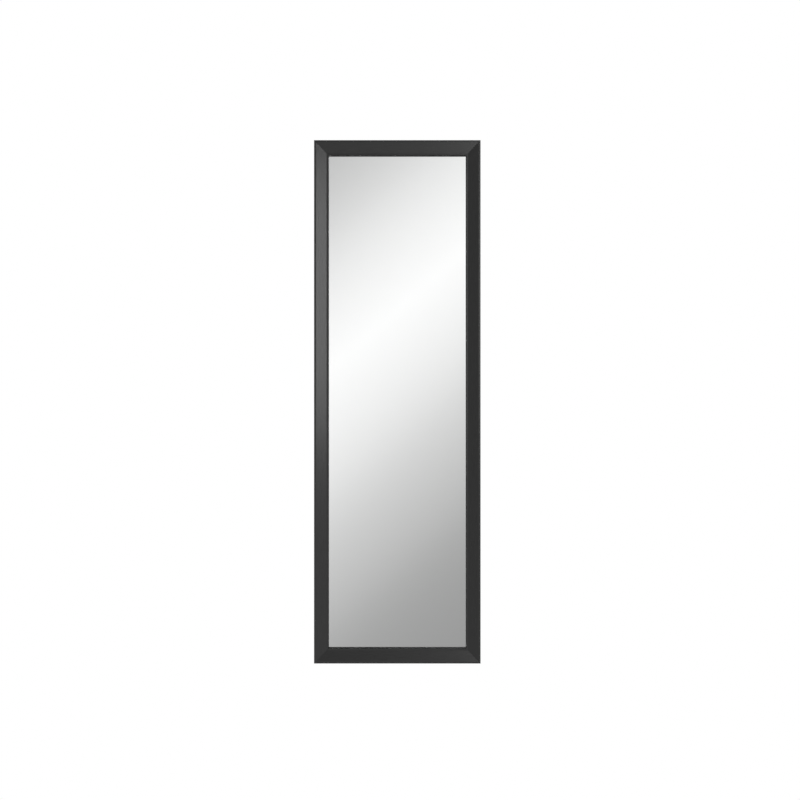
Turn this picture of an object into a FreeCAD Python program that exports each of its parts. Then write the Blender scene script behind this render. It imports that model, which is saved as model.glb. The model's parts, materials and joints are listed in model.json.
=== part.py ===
import FreeCAD, Part
import math
import os

# A full length wall mirror: a mitred black moulding round a silvered pane of glass.
# The pane, a liner and a back panel lie in the moulding's rabbet and are kept in by turn buttons.
# Two strap hangers with swinging rings carry it, and two bumpers hold its foot off the wall.
# Millimetres. +Z is up, the front faces -Y, and the origin is the middle of the frame's bottom edge.

# Overall size of the frame
FRAME_WIDTH = 350.0
FRAME_HEIGHT = 1100.0

# Moulding section, the same on all four rails
RAIL_WIDTH = 30.0
RIM_WIDTH = 4.0
LIP_WIDTH = 4.0
LIP_DROP = 6.0
LIP_THICKNESS = 4.0
RABBET_WIDTH = 8.0
RIM_RADIUS = 0.5
SIGHT_EDGE_RADIUS = 0.6
BACK_EDGE_CHAMFER = 1.0

# Mirror pack, from the front to the back. Play is the gap to the rabbet's wall all round.
GLASS_THICKNESS = 3.0
COATING_THICKNESS = 0.1
LINER_THICKNESS = 1.9
PANEL_THICKNESS = 3.0
GLASS_PLAY = 1.0
PANEL_PLAY = 0.6
PANEL_CORNER_RADIUS = 3.0

# V-nails, driven from behind across each mitre. Places are along the mitre from the outer corner.
V_NAIL_LEG = 5.0
V_NAIL_STEEL = 0.6
V_NAIL_DEPTH = 8.0
V_NAIL_FIRST = 9.0
V_NAIL_PITCH = 12.0
V_NAILS_PER_CORNER = 2

# Turn buttons, stamped from sheet steel, with a lifted finger tip
BUTTON_STEEL = 1.2
BUTTON_WIDTH = 10.0
BUTTON_REACH = 15.0
BUTTON_TIP_LENGTH = 4.0
BUTTON_TIP_ANGLE = 18.0
BUTTON_CORNER = 2.5
BUTTON_SETBACK = 6.0
BUTTON_ABOVE_HANGER = 70.0
RUNNING_GAP = 0.1

# Pan head screws with a cross recess
SCREW_SHANK_RADIUS = 1.4
SCREW_HEAD_RADIUS = 3.0
SCREW_HEAD_TOP_RADIUS = 2.3
SCREW_HEAD_HEIGHT = 2.0
SCREW_RECESS_SPAN = 3.2
SCREW_RECESS_WIDTH = 0.8
SCREW_RECESS_DEPTH = 1.1
SCREW_HOLE_CLEARANCE = 0.25
PILOT_CLEARANCE = 0.05
PILOT_EXTRA_DEPTH = 0.5
BUTTON_SCREW_LENGTH = 10.0
HANGER_SCREW_LENGTH = 12.0

# Strap hangers: a steel strip folded double round the ring's bar
HANGER_DROP = 220.0
STRAP_STRIP = 0.9
STRAP_WIDTH = 10.0
STRAP_LENGTH = 28.0
STRAP_CORNER = 2.5
STRAP_NECK = 5.0
STRAP_HOLE_DROP = 21.0
EYE_CLEARANCE = 0.1

# Hanging rings, bent to a D from round wire, whose section is drawn with a few flats
RING_WIRE_RADIUS = 1.0
RING_WIRE_SIDES = 10
RING_INNER_WIDTH = 15.0
RING_BEND_RADIUS = 2.0
RING_LEG = 4.0
RING_REST_GAP = 0.3

# Square tapered rubber bumpers at the foot
BUMPER_BASE = 11.0
BUMPER_FACE = 8.0
BUMPER_INSET = 40.0

# Worked out from the sizes above
RABBET_DEPTH = GLASS_THICKNESS + COATING_THICKNESS + LINER_THICKNESS + PANEL_THICKNESS
RAIL_DEPTH = LIP_DROP + LIP_THICKNESS + RABBET_DEPTH
FRONT = -RAIL_DEPTH / 2
BACK = RAIL_DEPTH / 2
RABBET_FLOOR = FRONT + LIP_DROP + LIP_THICKNESS
LAND = RAIL_WIDTH - RABBET_WIDTH
STRAP_THICKNESS = 2 * STRAP_STRIP
EYE_RADIUS = RING_WIRE_RADIUS + EYE_CLEARANCE
EYE_OUTER_RADIUS = EYE_RADIUS + STRAP_STRIP
EYE_Z = FRAME_HEIGHT - HANGER_DROP
EYE_Y = BACK + EYE_OUTER_RADIUS
BUMPER_HEIGHT = 2 * EYE_OUTER_RADIUS
RING_HALF_WIDTH = RING_INNER_WIDTH / 2 + RING_WIRE_RADIUS
RING_REACH = RING_BEND_RADIUS + RING_LEG + RING_HALF_WIDTH
QUARTER_MID = 1 - math.sqrt(0.5)
TOUCH = 0.001

X_AXIS = FreeCAD.Vector(1, 0, 0)
Y_AXIS = FreeCAD.Vector(0, 1, 0)
ORIGIN = FreeCAD.Vector(0, 0, 0)
LEFT, RIGHT = -1, 1
BOTTOM, TOP = -1, 1
SIDE_NAMES = {LEFT: "left", RIGHT: "right"}
END_NAMES = {BOTTOM: "bottom", TOP: "top"}


def at(x, y, z):
    return FreeCAD.Vector(x, y, z)


def lines(points):
    return [Part.LineSegment(a, b).toShape() for a, b in zip(points, points[1:])]


def face_of(edges):
    return Part.Face(Part.Wire(Part.__sortEdges__(edges)))


def polygon(points):
    return face_of(lines(points + points[:1]))


def slab(x_size, z_size, y_front, thickness):
    """Upright sheet, centred on the frame, with its front at y_front."""
    corner = at(-x_size / 2, y_front, (FRAME_HEIGHT - z_size) / 2)
    return Part.makeBox(x_size, thickness, z_size, corner)


def end_height(end, inwards):
    """Height of a line that lies inwards of the frame's bottom or top edge."""
    return inwards if end == BOTTOM else FRAME_HEIGHT - inwards


def side_place(side, inwards):
    """Place across the frame of a line that lies inwards of its left or right edge."""
    return side * (FRAME_WIDTH / 2 - inwards)


def mitre_point(side, end, share, y):
    """Point on a corner's mitre, at a share of the way from the outer corner to the sight corner."""
    inwards = share * RAIL_WIDTH
    return at(side_place(side, inwards), y, end_height(end, inwards))


def rail_section(place):
    """Moulding section, where place(across, back) is a point in from the side and back from the rim."""
    lip_back = LIP_DROP + LIP_THICKNESS
    rim_mid = RIM_RADIUS * QUARTER_MID
    sight_mid = SIGHT_EDGE_RADIUS * QUARTER_MID
    rim_round = Part.Arc(place(0, RIM_RADIUS), place(rim_mid, rim_mid), place(RIM_RADIUS, 0))
    face = [
        place(RIM_RADIUS, 0),
        place(RIM_WIDTH, 0),
        place(RAIL_WIDTH - LIP_WIDTH, LIP_DROP),
        place(RAIL_WIDTH - SIGHT_EDGE_RADIUS, LIP_DROP),
    ]
    sight_round = Part.Arc(
        place(RAIL_WIDTH - SIGHT_EDGE_RADIUS, LIP_DROP),
        place(RAIL_WIDTH - sight_mid, LIP_DROP + sight_mid),
        place(RAIL_WIDTH, LIP_DROP + SIGHT_EDGE_RADIUS),
    )
    rear = [
        place(RAIL_WIDTH, LIP_DROP + SIGHT_EDGE_RADIUS),
        place(RAIL_WIDTH, lip_back),
        place(LAND, lip_back),
        place(LAND, RAIL_DEPTH),
        place(BACK_EDGE_CHAMFER, RAIL_DEPTH),
        place(0, RAIL_DEPTH - BACK_EDGE_CHAMFER),
        place(0, RIM_RADIUS),
    ]
    return face_of([rim_round.toShape(), *lines(face), sight_round.toShape(), *lines(rear)])


def mitred(bar, corners):
    """The bar between the mitres of two corners, each given as its side and end."""
    overrun = 0.2
    first, second = corners
    outline = [
        mitre_point(*first, -overrun, FRONT - RAIL_DEPTH),
        mitre_point(*first, 1 + overrun, FRONT - RAIL_DEPTH),
        mitre_point(*second, 1 + overrun, FRONT - RAIL_DEPTH),
        mitre_point(*second, -overrun, FRONT - RAIL_DEPTH),
    ]
    return bar.common(polygon(outline).extrude(Y_AXIS * 3 * RAIL_DEPTH))


def side_rail(side):
    section = rail_section(lambda across, back: at(side_place(side, across), FRONT + back, 0))
    return mitred(section.extrude(at(0, 0, FRAME_HEIGHT)), [(side, BOTTOM), (side, TOP)])


def end_rail(end):
    start = -FRAME_WIDTH / 2
    section = rail_section(lambda across, back: at(start, FRONT + back, end_height(end, across)))
    return mitred(section.extrude(at(FRAME_WIDTH, 0, 0)), [(LEFT, end), (RIGHT, end)])


def v_nail(side, end, distance):
    """One V of strip steel with its point on the mitre, towards the outer corner, flush with the back."""
    along = mitre_point(side, end, 1, 0) - mitre_point(side, end, 0, 0)
    along.normalize()
    across = along.cross(Y_AXIS)
    slant = math.sqrt(0.5)
    leg = V_NAIL_LEG * slant
    steel = V_NAIL_STEEL * slant
    start = mitre_point(side, end, 0, BACK) + along * distance
    outline = [
        (0, 0),
        (leg, leg),
        (leg + steel, leg - steel),
        (2 * steel, 0),
        (leg + steel, steel - leg),
        (leg, -leg),
    ]
    points = [start + along * u + across * w for u, w in outline]
    return polygon(points).extrude(Y_AXIS * -V_NAIL_DEPTH)


def corner_nails(side, end):
    places = [V_NAIL_FIRST + i * V_NAIL_PITCH for i in range(V_NAILS_PER_CORNER)]
    return Part.makeCompound([v_nail(side, end, distance) for distance in places])


def mirror_pack():
    """The sheets in the rabbet, each with its back on the next one's front."""
    opening_width = FRAME_WIDTH - 2 * LAND
    opening_height = FRAME_HEIGHT - 2 * LAND
    pane = (opening_width - 2 * GLASS_PLAY, opening_height - 2 * GLASS_PLAY)
    coating_front = RABBET_FLOOR + GLASS_THICKNESS
    liner_front = coating_front + COATING_THICKNESS
    panel_front = liner_front + LINER_THICKNESS
    panel = slab(
        opening_width - 2 * PANEL_PLAY, opening_height - 2 * PANEL_PLAY, panel_front, PANEL_THICKNESS
    )
    through_edges = [e for e in panel.Edges if abs(e.tangentAt(e.FirstParameter).y) > 0.5]
    return {
        "mirror_glass": slab(*pane, RABBET_FLOOR, GLASS_THICKNESS),
        "silver_coating": slab(*pane, coating_front, COATING_THICKNESS),
        "backing_liner": slab(*pane, liner_front, LINER_THICKNESS),
        "back_panel": panel.makeFillet(PANEL_CORNER_RADIUS, through_edges),
    }


def pan_screw(seat, length):
    """Screw driven forwards, with the underside of its head at the point seat."""
    outline = [
        at(0, -length, 0),
        at(SCREW_SHANK_RADIUS, -length, 0),
        at(SCREW_SHANK_RADIUS, 0, 0),
        at(SCREW_HEAD_RADIUS, 0, 0),
        at(SCREW_HEAD_TOP_RADIUS, SCREW_HEAD_HEIGHT, 0),
        at(0, SCREW_HEAD_HEIGHT, 0),
    ]
    screw = polygon(outline).revolve(ORIGIN, Y_AXIS, 360)
    for span, width in [(SCREW_RECESS_SPAN, SCREW_RECESS_WIDTH), (SCREW_RECESS_WIDTH, SCREW_RECESS_SPAN)]:
        corner = at(-span / 2, SCREW_HEAD_HEIGHT - SCREW_RECESS_DEPTH, -width / 2)
        screw = screw.cut(Part.makeBox(span, SCREW_HEAD_HEIGHT, width, corner))
    screw.translate(seat)
    return screw


def pilot_hole(seat, length):
    """Hole in a rail for a screw whose head has its underside at seat."""
    depth = length - (seat.y - BACK) + PILOT_EXTRA_DEPTH
    return Part.makeCylinder(
        SCREW_SHANK_RADIUS + PILOT_CLEARANCE, depth, at(seat.x, BACK, seat.z), -Y_AXIS
    )


def corner_edges(plate, x, z):
    """The plate's short edges along Y at x, z and at x, -z."""
    found = []
    for edge in plate.Edges:
        middle = edge.CenterOfMass
        if abs(middle.x - x) < TOUCH and abs(abs(middle.z) - z) < TOUCH:
            found.append(edge)
    return found


def turn_button(pivot, turn):
    """Stamped button on its screw's axis at pivot, with its tongue turned about Y from +X."""
    lift = math.radians(BUTTON_TIP_ANGLE)
    half = BUTTON_WIDTH / 2
    bend = BUTTON_REACH - BUTTON_TIP_LENGTH
    rise = BUTTON_TIP_LENGTH * math.tan(lift)
    bend_shift = BUTTON_STEEL * math.tan(lift / 2)
    side_view = polygon(
        [
            at(0, 0, -half),
            at(bend, 0, -half),
            at(BUTTON_REACH, rise, -half),
            at(BUTTON_REACH, rise + BUTTON_STEEL / math.cos(lift), -half),
            at(bend - bend_shift, BUTTON_STEEL, -half),
            at(0, BUTTON_STEEL, -half),
        ]
    )
    tongue = side_view.extrude(at(0, 0, BUTTON_WIDTH))
    tongue = tongue.makeChamfer(BUTTON_CORNER, corner_edges(tongue, BUTTON_REACH, half))
    button = tongue.fuse(Part.makeCylinder(half, BUTTON_STEEL, ORIGIN, Y_AXIS)).removeSplitter()
    hole = SCREW_SHANK_RADIUS + SCREW_HOLE_CLEARANCE
    button = button.cut(Part.makeCylinder(hole, BUTTON_STEEL, ORIGIN, Y_AXIS))
    button.rotate(ORIGIN, Y_AXIS, turn)
    button.translate(pivot + Y_AXIS * RUNNING_GAP)
    return button


def button_places():
    """Each turn button's name, pivot on the back of its rail and turn towards the panel."""
    upper = EYE_Z + BUTTON_ABOVE_HANGER
    heights = {"upper": upper, "middle": FRAME_HEIGHT / 2, "lower": FRAME_HEIGHT - upper}
    places = []
    for side, turn in [(LEFT, 0), (RIGHT, 180)]:
        x = side_place(side, LAND - BUTTON_SETBACK)
        for level, z in heights.items():
            places.append((f"turn_button_{SIDE_NAMES[side]}_{level}", at(x, BACK, z), turn))
    for end, turn in [(TOP, 90), (BOTTOM, -90)]:
        pivot = at(0, BACK, end_height(end, LAND - BUTTON_SETBACK))
        places.append((f"turn_button_{END_NAMES[end]}", pivot, turn))
    return places


def strap_section():
    """Section of the folded strip: an eye round the ring's bar, a neck and two layers laid flat."""
    centre_y, top = EYE_OUTER_RADIUS, STRAP_THICKNESS
    reach = math.hypot(STRAP_NECK, centre_y - top)
    bearing = math.atan2(centre_y - top, STRAP_NECK) + math.asin(EYE_OUTER_RADIUS / reach)
    tangent = math.sqrt(reach**2 - EYE_OUTER_RADIUS**2)
    neck = at(0, top, -STRAP_NECK)
    touch = neck + at(0, math.sin(bearing), math.cos(bearing)) * tangent
    foot = at(0, 0, 0)
    crown = at(0, centre_y, EYE_OUTER_RADIUS)
    outline = [touch, neck, at(0, top, -STRAP_LENGTH), at(0, 0, -STRAP_LENGTH), foot]
    outer = face_of([Part.Arc(foot, crown, touch).toShape(), *lines(outline)])
    eye = Part.Face(Part.Wire(Part.makeCircle(EYE_RADIUS, at(0, centre_y, 0), X_AXIS)))
    return outer.cut(eye)


def hanger_screw_seat(x):
    return at(x, BACK + STRAP_THICKNESS, EYE_Z - STRAP_HOLE_DROP)


def hanger_strap(x):
    """Folded strap on the back of a side rail, with its eye on top and clipped lower corners."""
    section = strap_section()
    section.translate(at(-STRAP_WIDTH / 2, 0, 0))
    strap = section.extrude(X_AXIS * STRAP_WIDTH)
    lower_edges = [edge for edge in strap.Edges if edge.BoundBox.ZMax < TOUCH - STRAP_LENGTH]
    lower_corners = [edge for edge in lower_edges if edge.BoundBox.XLength < TOUCH]
    strap = strap.makeChamfer(STRAP_CORNER, lower_corners)
    strap.translate(at(x, BACK, EYE_Z))
    hole = SCREW_SHANK_RADIUS + SCREW_HOLE_CLEARANCE
    return strap.cut(Part.makeCylinder(hole, STRAP_THICKNESS, hanger_screw_seat(x), -Y_AXIS))


def hanger_ring(x):
    """D of round wire, hanging from its bar and resting just clear of the strap."""
    half, bend = RING_HALF_WIDTH, RING_BEND_RADIUS
    leg_end = -bend - RING_LEG
    corner = bend * QUARTER_MID
    bar_end = half - bend
    path = [
        *lines([at(-bar_end, 0, 0), at(bar_end, 0, 0)]),
        Part.Arc(at(bar_end, 0, 0), at(half - corner, 0, -corner), at(half, 0, -bend)).toShape(),
        *lines([at(half, 0, -bend), at(half, 0, leg_end)]),
        Part.Arc(at(half, 0, leg_end), at(0, 0, -RING_REACH), at(-half, 0, leg_end)).toShape(),
        *lines([at(-half, 0, leg_end), at(-half, 0, -bend)]),
        Part.Arc(at(-half, 0, -bend), at(corner - half, 0, -corner), at(-bar_end, 0, 0)).toShape(),
    ]
    turns = [2 * math.pi * (i + 0.5) / RING_WIRE_SIDES for i in range(RING_WIRE_SIDES)]
    around = [at(-bar_end, RING_WIRE_RADIUS * math.cos(a), RING_WIRE_RADIUS * math.sin(a)) for a in turns]
    ring = Part.Wire(path).makePipeShell([polygon(around).OuterWire], True, False)
    clear_height = STRAP_THICKNESS + RING_REST_GAP + RING_WIRE_RADIUS
    ring.rotate(ORIGIN, X_AXIS, math.degrees(math.asin((clear_height - EYE_OUTER_RADIUS) / RING_REACH)))
    ring.translate(at(x, EYE_Y, EYE_Z))
    return ring


def wall_bumper(side):
    """Tapered rubber block on the back of the bottom rail, flat where it meets the wall."""
    base, face = BUMPER_BASE / 2, BUMPER_FACE / 2
    block = Part.makeWedge(-base, 0, -base, -face, -face, base, BUMPER_HEIGHT, base, face, face)
    block.translate(at(side_place(side, BUMPER_INSET), BACK, LAND / 2))
    return block


def build():
    """Every piece of the mirror by its name."""
    pieces = {f"frame_rail_{SIDE_NAMES[side]}": side_rail(side) for side in SIDE_NAMES}
    pieces.update({f"frame_rail_{END_NAMES[end]}": end_rail(end) for end in END_NAMES})
    rails = list(pieces)
    holes = []

    for end in END_NAMES:
        for side in SIDE_NAMES:
            nails = corner_nails(side, end)
            pieces[f"v_nails_{END_NAMES[end]}_{SIDE_NAMES[side]}"] = nails
            holes.extend(nails.Solids)

    pieces.update(mirror_pack())

    button_screws = []
    for name, pivot, turn in button_places():
        pieces[name] = turn_button(pivot, turn)
        seat = pivot + Y_AXIS * (BUTTON_STEEL + 2 * RUNNING_GAP)
        button_screws.append(pan_screw(seat, BUTTON_SCREW_LENGTH))
        holes.append(pilot_hole(seat, BUTTON_SCREW_LENGTH))
    pieces["turn_button_screws"] = Part.makeCompound(button_screws)

    hanger_screws = []
    for side, name in SIDE_NAMES.items():
        x = side_place(side, LAND / 2)
        pieces[f"hanger_strap_{name}"] = hanger_strap(x)
        pieces[f"hanger_ring_{name}"] = hanger_ring(x)
        seat = hanger_screw_seat(x)
        hanger_screws.append(pan_screw(seat, HANGER_SCREW_LENGTH))
        holes.append(pilot_hole(seat, HANGER_SCREW_LENGTH))
        pieces[f"wall_bumper_{name}"] = wall_bumper(side)
    pieces["hanger_screws"] = Part.makeCompound(hanger_screws)

    for rail in rails:
        pieces[rail] = pieces[rail].cut(holes)
    return pieces


os.makedirs("parts", exist_ok=True)
for piece_name, shape in build().items():
    shape.exportStep(os.path.join("parts", f"{piece_name}.step"))
    volume = sum(solid.Volume for solid in shape.Solids)
    print(f"{piece_name}: {len(shape.Solids)} solid(s), {volume:.1f} mm3, valid {shape.isValid()}")
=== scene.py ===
import json
import math

import bmesh
import bpy
from bpy.props import FloatProperty, FloatVectorProperty, PointerProperty
from bpy.types import Operator, Panel, PropertyGroup
from mathutils import Matrix, Vector

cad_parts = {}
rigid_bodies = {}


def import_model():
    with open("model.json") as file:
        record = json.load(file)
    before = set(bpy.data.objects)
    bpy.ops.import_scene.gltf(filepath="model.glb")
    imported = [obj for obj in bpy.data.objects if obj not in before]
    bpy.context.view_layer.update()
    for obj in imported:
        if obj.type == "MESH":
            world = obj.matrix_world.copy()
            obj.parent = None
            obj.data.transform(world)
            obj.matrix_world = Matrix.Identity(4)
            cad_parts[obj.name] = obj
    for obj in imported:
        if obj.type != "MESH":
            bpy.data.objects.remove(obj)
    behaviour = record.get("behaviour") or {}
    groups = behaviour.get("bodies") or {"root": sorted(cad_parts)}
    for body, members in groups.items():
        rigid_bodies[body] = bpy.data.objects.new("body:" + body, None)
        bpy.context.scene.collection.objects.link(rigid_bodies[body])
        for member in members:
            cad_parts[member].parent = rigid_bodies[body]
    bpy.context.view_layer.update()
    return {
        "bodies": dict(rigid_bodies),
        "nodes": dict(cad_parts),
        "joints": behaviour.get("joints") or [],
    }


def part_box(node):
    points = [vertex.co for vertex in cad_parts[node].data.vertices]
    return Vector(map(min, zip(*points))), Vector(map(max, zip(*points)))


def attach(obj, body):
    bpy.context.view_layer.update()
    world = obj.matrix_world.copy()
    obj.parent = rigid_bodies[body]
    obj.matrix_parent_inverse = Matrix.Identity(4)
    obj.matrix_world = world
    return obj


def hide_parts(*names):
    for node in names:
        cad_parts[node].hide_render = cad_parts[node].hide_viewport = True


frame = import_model()

bl_info = {
    "name": "Full Length Wall Mirror",
    "version": (1, 0, 0),
    "blender": (4, 5, 0),
    "location": "View3D > Sidebar > Wall Mirror",
    "description": "Moulding, pane, back board and hanging hardware of a wall mirror, and its studio",
    "category": "Object",
}

# Metres, apart from the millimetres that length() takes. +Z is up, the front faces -Y, and the origin
# is the middle of the bottom edge.
MM = 0.001
LEFT, RIGHT = -1, 1
BOTTOM, TOP = -1, 1
SIDE_NAMES = {LEFT: "left", RIGHT: "right"}
END_NAMES = {BOTTOM: "bottom", TOP: "top"}
X_AXIS = Vector((1, 0, 0))
Y_AXIS = Vector((0, 1, 0))
Z_AXIS = Vector((0, 0, 1))
QUARTER_TURN = math.pi / 2

# Places and overall sizes, read from the frame
SIDE_LOW, SIDE_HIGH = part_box("frame_rail_left")
HALF_WIDTH = -SIDE_LOW.x
HEIGHT = SIDE_HIGH.z
MIDDLE = Vector((0, 0, HEIGHT / 2))
FRONT, BACK = SIDE_LOW.y, SIDE_HIGH.y
RAIL_WIDTH = SIDE_HIGH.x - SIDE_LOW.x
RABBET_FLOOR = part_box("mirror_glass")[0].y
SILVER_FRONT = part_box("silver_coating")[0].y
PIVOTS = {joint["child"]: Vector(joint["pos_m"]) for joint in frame["joints"]}
BUTTONS = [body for body in frame["bodies"] if body.startswith("turn_button")]

# Points closer than NEAR are one. Edges past the first angle are softened, and past the second look crisp.
NEAR = 0.001 * MM
SOFTENED_ANGLE = math.radians(50.0)
CRISP_ANGLE = math.radians(60.0)

# Where the mirror stands in the photograph, in its pixels
PHOTO_SIZE = 800
PHOTO_CENTRE = (397.31, 401.85)
PHOTO_HEIGHT = 523.5
METRES_PER_PIXEL = HEIGHT / PHOTO_HEIGHT

# Sockets of a Mix node that mixes two colours
MIX_FACTOR, MIX_FIRST, MIX_SECOND = 0, 6, 7
MIX_RESULT = 2
WHITE = (1.0, 1.0, 1.0, 1.0)


def number(name, description, default, **kind):
    """A number to set. The kind gives its range, subtype or unit."""
    return FloatProperty(name=name, description=description, default=default, **kind)


def length(name, description, millimetres):
    return number(name, description, millimetres * MM, min=0.0, precision=5, subtype="DISTANCE")


def angle(name, description, degrees):
    return number(name, description, math.radians(degrees), subtype="ANGLE")


def share(name, description, default):
    return number(name, description, default, min=0.0, max=1.0, subtype="FACTOR")


def power(name, description, default):
    return number(name, description, default, min=0.0, unit="POWER")


def colour(name, description, default):
    return FloatVectorProperty(
        name=name, description=description, default=default, size=3, min=0.0, max=1.0, subtype="COLOR"
    )


def place(name, description, default):
    return FloatVectorProperty(
        name=name, description=description, default=default, size=3, subtype="TRANSLATION"
    )


class MouldingSizes(PropertyGroup):
    """Section of the moulding and the edges of its foil"""

    rim_width: length("Rim width", "Flat band along the outer edge", 4.0)
    rim_radius: length("Rim radius", "Rounding of the outer front edge", 0.5)
    ridge_round: length("Ridge", "Softening where the rim meets the sloping face", 0.35)
    lip_width: length("Lip width", "Flat band beside the pane", 4.0)
    lip_drop: length("Lip drop", "How far the lip lies behind the rim", 6.0)
    valley_round: length("Valley", "Softening where the sloping face meets the lip", 0.35)
    sight_radius: length("Sight radius", "Rounding of the edge beside the pane", 0.6)
    rabbet_width: length("Rabbet width", "How far the lip overhangs the pane", 8.0)
    arris: length("Arris", "Softening of the rabbet's edges", 0.25)
    back_edge: length("Back edge", "Rounding of the outer back edge", 1.0)
    back_relief: length("Back relief", "How far the back lies below the nails' ends", 0.03)
    mitre_groove: length("Mitre groove", "Softening of the cut ends at the mitres", 0.12)
    foil_wrap: length("Foil wrap", "How far the foil is turned over the back", 6.0)
    wrap_wander: length("Wrap wander", "How far the foil's cut edge strays", 1.2)
    bare_depth: length("Bare depth", "Depth of the raw board at the back", 0.15)
    # Reach of the darker line along a mitre, painted both for the glue and as painted shadow in the mitre's
    # gap
    glue_and_shade_line: length("Glue line", "Reach of the glue beside a mitre", 0.4)


class SheetSizes(PropertyGroup):
    """Pane, silvering and back board"""

    pane_arris: length("Pane arris", "Ground edge of the pane", 0.4)
    pane_clearance: length("Pane clearance", "Gap between the pane and the lip", 0.05)
    green_band: length("Green band", "Width of the greener band round the pane", 1.5)
    silver_bite: length("Silver bite", "How far the silver reaches into the pane's back", 0.02)
    board_corner: length("Board corner", "Rounding of the back board's corners", 3.0)
    board_edge: length("Board edge", "Softening of the back board's edges", 0.3)


class ButtonSizes(PropertyGroup):
    """Turn buttons of sheet steel"""

    steel: length("Steel", "Thickness of the sheet", 1.2)
    running_gap: length("Running gap", "Gap under the button and the screw's head", 0.1)
    tip_length: length("Tip length", "Length of the lifted tip", 4.0)
    tip_round: length("Tip round", "Rounding of the tip's corners", 2.5)
    tip_angle: angle("Tip angle", "How far the tip is lifted", 18.0)
    fold_step: length("Fold step", "Spacing of the folds that lift the tip", 0.4)
    edge: length("Edge", "Softening of the stamped edges", 0.2)


class ScrewSizes(PropertyGroup):
    """Pan head screws of the turn buttons and the strap hangers"""

    hole_radius: length("Hole radius", "Hole that a screw goes through", 1.65)
    head_radius: length("Head radius", "Radius of the head", 3.0)
    head_height: length("Head height", "Height of the head", 2.0)
    head_flat: length("Head flat", "Radius of the flat on top of the head", 1.85)
    head_side: length("Head side", "Height of the head's widest place", 0.4)
    head_under: length("Head under", "How far the head is drawn in under its rim", 0.25)
    shank_radius: length("Shank radius", "Radius over the thread", 1.4)
    core_radius: length("Core radius", "Radius under the thread", 1.0)
    thread_pitch: length("Thread pitch", "Rise of the thread in a turn", 1.3)
    recess_span: length("Recess span", "Cross recess, from end to end", 3.2)
    recess_width: length("Recess width", "Width of the recess's arms", 0.8)
    recess_depth: length("Recess depth", "Depth of the recess", 1.1)
    recess_taper: share("Recess taper", "Size of the recess's floor beside its mouth", 0.7)


class HangerSizes(PropertyGroup):
    """Strap hangers and their rings"""

    strip: length("Strip", "Thickness of the folded strip", 0.88)
    layer_gap: length("Layer gap", "Gap between the strip's two layers", 0.04)
    neck: length("Neck", "From the eye's centre to where the layers meet", 5.0)
    hole_drop: length("Hole drop", "From the eye's centre to the screw", 21.0)
    hole_cell: length("Hole cell", "Length of strip about the hole", 7.0)
    corner: length("Corner", "Rounding of the strap's corners", 2.5)
    edge: length("Edge", "Softening of the strip's edges", 0.15)
    wire_radius: length("Wire radius", "Radius of the ring's wire", 1.0)
    bend_radius: length("Bend radius", "Bends between the ring's bar and its legs", 2.0)
    leg: length("Leg", "Straight stretch of the ring's legs", 4.0)


class BumperSizes(PropertyGroup):
    """Rubber bumpers at the foot"""

    face: length("Face", "Width where it meets the wall", 8.0)
    edge: length("Edge", "Rounding of the bumper's edges", 0.9)


class Finishes(PropertyGroup):
    """Colours of the mirror's materials"""

    satin_black: colour("Satin black", "Foil of the moulding", (0.0100, 0.0100, 0.0100))
    raw_board: colour("Raw board", "Fibreboard at the back of the moulding", (0.36, 0.25, 0.15))
    hardboard: colour("Hardboard", "Back board", (0.21, 0.115, 0.055))
    liner: colour("Liner", "Board behind the silver", (0.36, 0.33, 0.28))
    pane: colour("Pane", "Tint of the glass", (0.985, 0.992, 0.988))
    pane_edge: colour("Pane edge", "Tint near the pane's edges", (0.62, 0.80, 0.72))
    silver: colour("Silver", "Silver coating", (0.955, 0.955, 0.955))
    zinc: colour("Zinc", "Plated steel of the hardware", (0.53, 0.54, 0.555))
    nail_steel: colour("Nail steel", "Bare steel of the corner nails", (0.34, 0.34, 0.35))
    rubber: colour("Rubber", "Bumpers", (0.022, 0.022, 0.023))
    floor: colour("Floor", "Studio floor", (0.86, 0.86, 0.86))


class StageSettings(PropertyGroup):
    """Camera, lamps and studio surfaces"""

    camera_distance: length("Camera distance", "From the camera to the moulding's rim", 1750.0)
    ambient: share("Ambient", "Light from all round", 0.75)
    key_place: place("Key lamp", "Place of the tall lamp beside the camera", (0.607, -1.714, 0.985))
    key_width: length("Key width", "Width of the key lamp", 80.0)
    key_height: length("Key height", "Height of the key lamp", 1180.0)
    key_power: power("Key power", "Power of the key lamp", 6.8)
    fill_place: place("Fill lamp", "Place of the broad lamp behind the mirror", (-1.3, 2.2, 2.1))
    fill_size: length("Fill size", "Side of the fill lamp", 1400.0)
    fill_power: power("Fill power", "Power of the fill lamp", 10.0)
    floor_drop: length("Floor drop", "How far the floor lies below the mirror", 750.0)
    floor_radius: length("Floor radius", "Radius of the round floor", 950.0)
    # The card glows in slanting bands of painted light, which the pane shows as its reflection
    card_distance: length("Card distance", "From the mirror to the card before it", 4000.0)
    card_size: length("Card size", "Side of the card", 60000.0)
    card_turn: angle("Card turn", "Direction across the card's bands, down from +X", 49.0)
    card_crest: number("Card crest", "Brightest band on the pane, from its middle", -0.147, unit="LENGTH")
    card_reach: length("Card reach", "From the brightest band to the darkest, on the pane", 630.0)


class WallMirrorSettings(PropertyGroup):
    """Everything that can be set on the wall mirror"""

    moulding: PointerProperty(type=MouldingSizes)
    sheets: PointerProperty(type=SheetSizes)
    buttons: PointerProperty(type=ButtonSizes)
    screws: PointerProperty(type=ScrewSizes)
    hangers: PointerProperty(type=HangerSizes)
    bumpers: PointerProperty(type=BumperSizes)
    finishes: PointerProperty(type=Finishes)
    stage: PointerProperty(type=StageSettings)


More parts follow.
